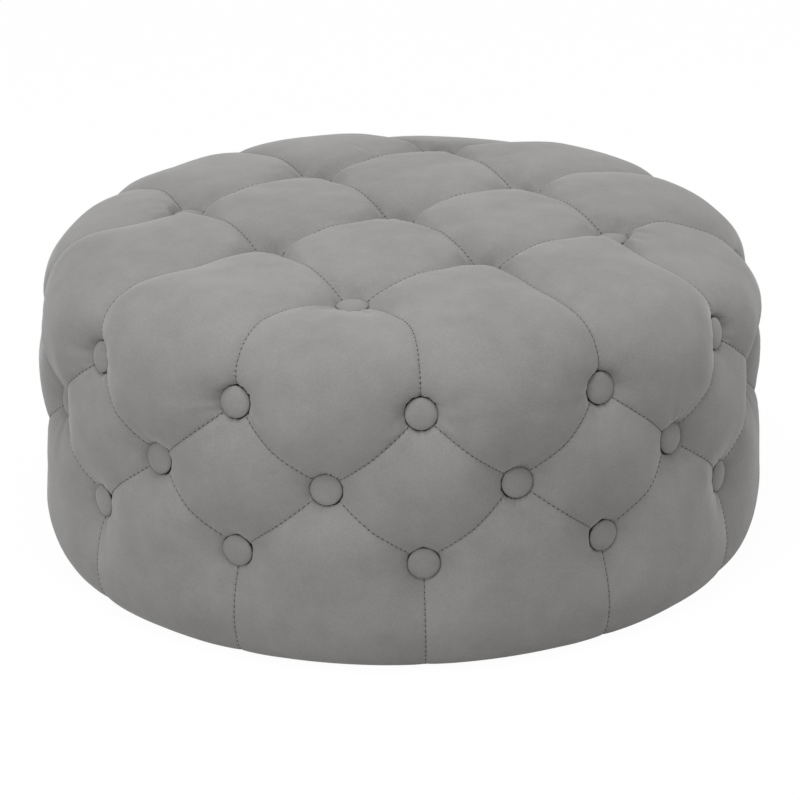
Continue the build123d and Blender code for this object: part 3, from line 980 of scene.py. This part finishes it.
stapleShape = makeStaple(staple)
dustClothStaples = driveStaples(stapleShape, staple)
bpy.data.objects.remove(stapleShape)
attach(dustClothStaples, "root")
print("staples driven")

# Velvet: a short pile, brushed lighter and darker in patches, and pinched at every stitch
velvetLook = {
    "light": (0.325, 0.318, 0.309, 1),
    "dark": (0.225, 0.221, 0.215, 1),
    # painted shade: darker colour along the middle of each seam, for the shade in its crease
    "crease": (0.045, 0.044, 0.042, 1),
    # painted shade: near-black for the marked underside, groove, skirt and back of the buttons, standing for
    # the shadow between button and cloth
    "rim": (0.012, 0.012, 0.012, 1),
    "patches": (8, 4),  # scale and detail
    "marks": (42, 5),
    "pile": (620, 3),
    "shades": (1.1, 0.7, 1.1),  # of patches, marks and pile in the colour
    "heights": (0.45, 0.30),  # of pile and marks
    "roughness": 0.92,
    "sheen": 0.45,
    "sheenRoughness": 0.4,
    "shine": 0.1,
    "bump": (0.8, 0.0006),  # strength and depth
    "pinch": 1.1,
    "pinchReach": 0.0032,
    "creaseShadeReach": 0.0006,
    "creaseShadeShare": 0.35,
    "ribPitch": 0.0024,  # of the faint ribs near the floor
    "ribRadius": 0.34,
    "ribTop": (0.060, 0.03),  # height where they end, and span
    "ribDepth": 0.16,
    "ribPatches": (0.46, 6),  # where the patches show them, and contrast
}


def makeVelvet(look, name, sewn):
    m = Maker(name)
    patches, marks, pile = (m.noise(*look[kind]) for kind in ("patches", "marks", "pile"))
    patchShare, markShare, pileShare = look["shades"]
    shade = (patches - 0.5) * patchShare + (marks - 0.5) * markShare + (pile - 0.5) * pileShare + 0.5
    colour = m.blend(shade, look["dark"], look["light"])
    pileHeight, markHeight = look["heights"]
    height = pile * pileHeight + marks * markHeight
    if sewn:
        along, across, _ = m.split(m.read("UV", "UVMap", {"uv_map": "seam"}))
        turn = along * (2 * math.pi / stitch["pitch"])
        close = (1 - across / look["pinchReach"]).clamp()
        height = height + turn.math("COSINE") * (close * close) * look["pinch"] * -1
        # painted shade: the colour darkens towards the middle of each seam, for the shade in its crease
        crease = (1 - across / look["creaseShadeReach"]) * look["creaseShadeShare"]
        colour = m.blend(crease, colour, look["crease"])
        x, y, z = m.split(m.place)
        ribs = (y.math("ARCTAN2", x) * (look["ribRadius"] * 2 * math.pi / look["ribPitch"])).math("SINE")
        (ribTop, ribSpan), (patchFrom, contrast) = look["ribTop"], look["ribPatches"]
        low = ((ribTop - z) / ribSpan).clamp() * ((patches - patchFrom) * contrast).clamp()
        height = height + ribs * low * look["ribDepth"]
    else:
        # painted shade: the marked underside, groove, skirt and back of each button are blended to
        # near-black
        rim = m.read("Fac", "Attribute", {"attribute_name": "rim"})
        colour = m.blend(rim, colour, look["rim"])
    strength, depth = look["bump"]
    shader = m.surface(colour, look["roughness"], height, depth, strength)
    shader.inputs["Sheen Weight"].default_value = look["sheen"]
    shader.inputs["Sheen Roughness"].default_value = look["sheenRoughness"]
    shader.inputs["Specular IOR Level"].default_value = look["shine"]
    return m.finish(shader)


def makeThread():
    m = Maker("thread")
    fibre = m.noise(2200, 1)
    # painted shade: the thread is coloured near-black, as thread lying in shade, so the stitches show as
    # dark dots; the fibre noise varies its tone
    colour = m.blend(fibre, (0.012, 0.012, 0.012, 1), (0.045, 0.044, 0.042, 1))
    return m.plain(colour, 0.8, fibre, 0.0002)


def makeStapleSteel():
    m = Maker("stapleSteel")
    dull = m.noise(800, 3)
    colour = m.blend(dull, (0.36, 0.36, 0.37, 1), (0.58, 0.58, 0.60, 1))
    shader = m.surface(colour, dull * 0.25 + 0.28, dull, 0.0001)
    shader.inputs["Metallic"].default_value = 1
    return m.finish(shader)


def dress(piece, material):
    piece.data.materials.clear()
    piece.data.materials.append(material)


dress(velvetCover, makeVelvet(velvetLook, "velvet", True))
buttonVelvet = makeVelvet(velvetLook, "buttonVelvet", False)
for piece in buttonPieces:
    dress(piece, buttonVelvet)
dress(seamStitches, makeThread())
dress(dustClothStaples, makeStapleSteel())
print("velvet and thread made")


# What is inside and underneath keeps its CAD shape and gets its own material
def makeFoam():
    m = Maker("foam")
    cells = m.read("Distance", "TexVoronoi", Vector=m.place, Scale=700.0)
    patch = m.noise(9, 3)
    colour = m.blend(patch * 0.6 + cells * 0.7, (0.60, 0.53, 0.34, 1), (0.83, 0.78, 0.58, 1))
    return m.plain(colour, 0.95, cells, 0.0008)


def makeHardboard():
    m = Maker("hardboard")
    fibre, flecks = m.noise(60, 6), m.noise(600, 2)
    colour = m.blend(fibre * 0.7 + flecks * 0.5 - 0.1, (0.17, 0.10, 0.055, 1), (0.34, 0.22, 0.13, 1))
    return m.plain(colour, fibre * 0.2 + 0.4, flecks, 0.0001)


plyPair = 0.0030  # a light ply and a dark one
bondPitch = 0.0021  # of the black cloth


def makePlywood():
    m = Maker("plywood")
    x, _, z = m.split(m.place)
    wander = m.noise(3, 4, (6, 1.2, 6))
    grain = (x * 240 + wander * 26).math("SINE") * 0.5 + 0.5
    plies = (z * (2 * math.pi / plyPair)).math("SINE") * 0.5 + 0.5
    upward = m.split(m.read("Normal", "NewGeometry"))[2]
    side = 1 - upward.math("ABSOLUTE").math("GREATER_THAN", 0.7)
    face = m.blend(grain * 0.6 + m.noise(300, 2) * 0.4, (0.52, 0.37, 0.21, 1), (0.70, 0.54, 0.36, 1))
    core = m.blend(plies, (0.36, 0.23, 0.12, 1), (0.68, 0.52, 0.33, 1))
    height = grain * (1 - side) + plies * side
    return m.plain(m.blend(side, face, core), wander * 0.2 + 0.5, height, 0.0002)


def makePine():
    m = Maker("pine")
    kind = {"wave_type": "RINGS", "rings_direction": "Z"}
    bands = m.read("Fac", "TexWave", kind, Vector=m.place, Scale=22.0, Distortion=3.0, Detail=2.0)
    fibre = m.noise(260, 4)
    colour = m.blend(bands * 0.7 + fibre * 0.3, (0.76, 0.60, 0.39, 1), (0.58, 0.37, 0.19, 1))
    return m.plain(colour, fibre * 0.2 + 0.45, bands + fibre, 0.0002)


def makeTwine():
    m = Maker("twine")
    kind = {"bands_direction": "DIAGONAL"}
    strands = m.read("Fac", "TexWave", kind, Vector=m.place, Scale=260.0, Distortion=0.6)
    shade = strands * 0.7 + m.noise(500, 2) * 0.3
    colour = m.blend(shade, (0.48, 0.43, 0.32, 1), (0.74, 0.70, 0.60, 1))
    return m.plain(colour, 0.55, strands, 0.0004)


def makeToggleWood():
    m = Maker("toggleWood")
    grain = m.noise(60, 5, (1, 1, 14))
    colour = m.blend(grain, (0.44, 0.29, 0.16, 1), (0.70, 0.53, 0.34, 1))
    return m.plain(colour, grain * 0.2 + 0.5, grain, 0.0003)


def makeDustCloth():
    m = Maker("dustCloth")
    x, y = (part * (2 * math.pi / bondPitch) for part in m.split(m.place)[:2])
    bonds = (x.math("SINE") * y.math("SINE") * 0.5 + 0.5).math("POWER", 3)
    fibres = m.noise(700, 4)
    colour = m.blend(fibres * 0.8 - bonds * 0.25, (0.010, 0.010, 0.011, 1), (0.040, 0.040, 0.044, 1))
    return m.plain(colour, 0.85 - bonds * 0.2, fibres - bonds * 0.8, 0.0004)


def makeGlidePlastic():
    m = Maker("glidePlastic")
    sand, scuffs = m.noise(1400, 2), m.noise(90, 5)
    colour = m.blend(scuffs * 0.8 + sand * 0.2, (0.032, 0.032, 0.034, 1), (0.075, 0.075, 0.078, 1))
    return m.plain(colour, scuffs * 0.25 + 0.38, sand, 0.0001)


insides = {
    makeFoam: ("side_foam", "top_foam"),
    makeHardboard: ("wall_panel",),
    makePlywood: ("top_board", "base_ring"),
    makePine: ("frame_posts",),
    makeTwine: ("lower_row_twines", "middle_row_twines", "upper_row_twines", "top_twines"),
    makeToggleWood: ("lower_row_toggles", "middle_row_toggles", "upper_row_toggles", "top_toggles"),
    makeDustCloth: ("dust_cover",),
    makeGlidePlastic: ("glides",),
}
for make, names in insides.items():
    material = make()
    for name in names:
        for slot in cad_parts[name].material_slots:
            slot.material = material
print("inside materials made")

# Floor, world and lamps
studio = {
    "world": 0.48,
    "floorDrop": 0.0002,
    "floorColour": (0.6, 0.6, 0.6, 1),
    "floorGlow": 1.03,
    "glowShare": 0.94,  # of what the camera sees of the floor; the rest shows the shadow
    "target": (0, 0, 0.2),
    "lamps": {  # place, size, power
        "key": ((-0.55, -0.65, 2.9), 1.4, 38),
        "left": ((-2.3, -0.9, 1.3), 1.6, 17),
        "right": ((2.4, -1.0, 1.2), 1.6, 9),
    },
}


def makeLamp(name, place, target, size, power):
    data = bpy.data.lights.new(name, "AREA")
    data.size = size
    data.energy = power
    lamp = bpy.data.objects.new(name, data)
    lamp.location = place
    lamp.rotation_euler = (Vector(target) - Vector(place)).to_track_quat("-Z", "Y").to_euler()
    bpy.context.scene.collection.objects.link(lamp)


def makeFloor(look):
    bpy.ops.mesh.primitive_plane_add(size=40, location=(0, 0, -look["floorDrop"]))
    floor = bpy.context.object
    floor.name = "floor"
    m = Maker("floor")
    plain = m.read(0, "BsdfDiffuse", Color=look["floorColour"])
    glow = m.read(0, "Emission", Color=(1, 1, 1, 1), Strength=look["floorGlow"])
    share = m.read("Is Camera Ray", "LightPath") * look["glowShare"]
    floor.data.materials.append(m.finish(m.node("MixShader", i0=share, i1=plain, i2=glow)))


def makeWorld(look):
    world = bpy.data.worlds.new("studio")
    bpy.context.scene.world = world
    world.use_nodes = True
    tree = world.node_tree
    tree.nodes.clear()
    out = tree.nodes.new("ShaderNodeOutputWorld")
    back = tree.nodes.new("ShaderNodeBackground")
    path = tree.nodes.new("ShaderNodeLightPath")
    seen, mirrored = (Value(tree, path.outputs[kind]) for kind in ("Is Camera Ray", "Is Glossy Ray"))
    light = seen.math("MAXIMUM", mirrored)
    strength = light * (1 - look["world"]) + look["world"]
    tree.links.new(strength.socket, back.inputs["Strength"])
    back.inputs["Color"].default_value = (1, 1, 1, 1)
    tree.links.new(back.outputs[0], out.inputs[0])


makeFloor(studio)
makeWorld(studio)
for name, (place, size, power) in studio["lamps"].items():
    makeLamp(name, place, studio["target"], size, power)
bpy.context.scene.view_settings.view_transform = "Standard"
print("studio lit")
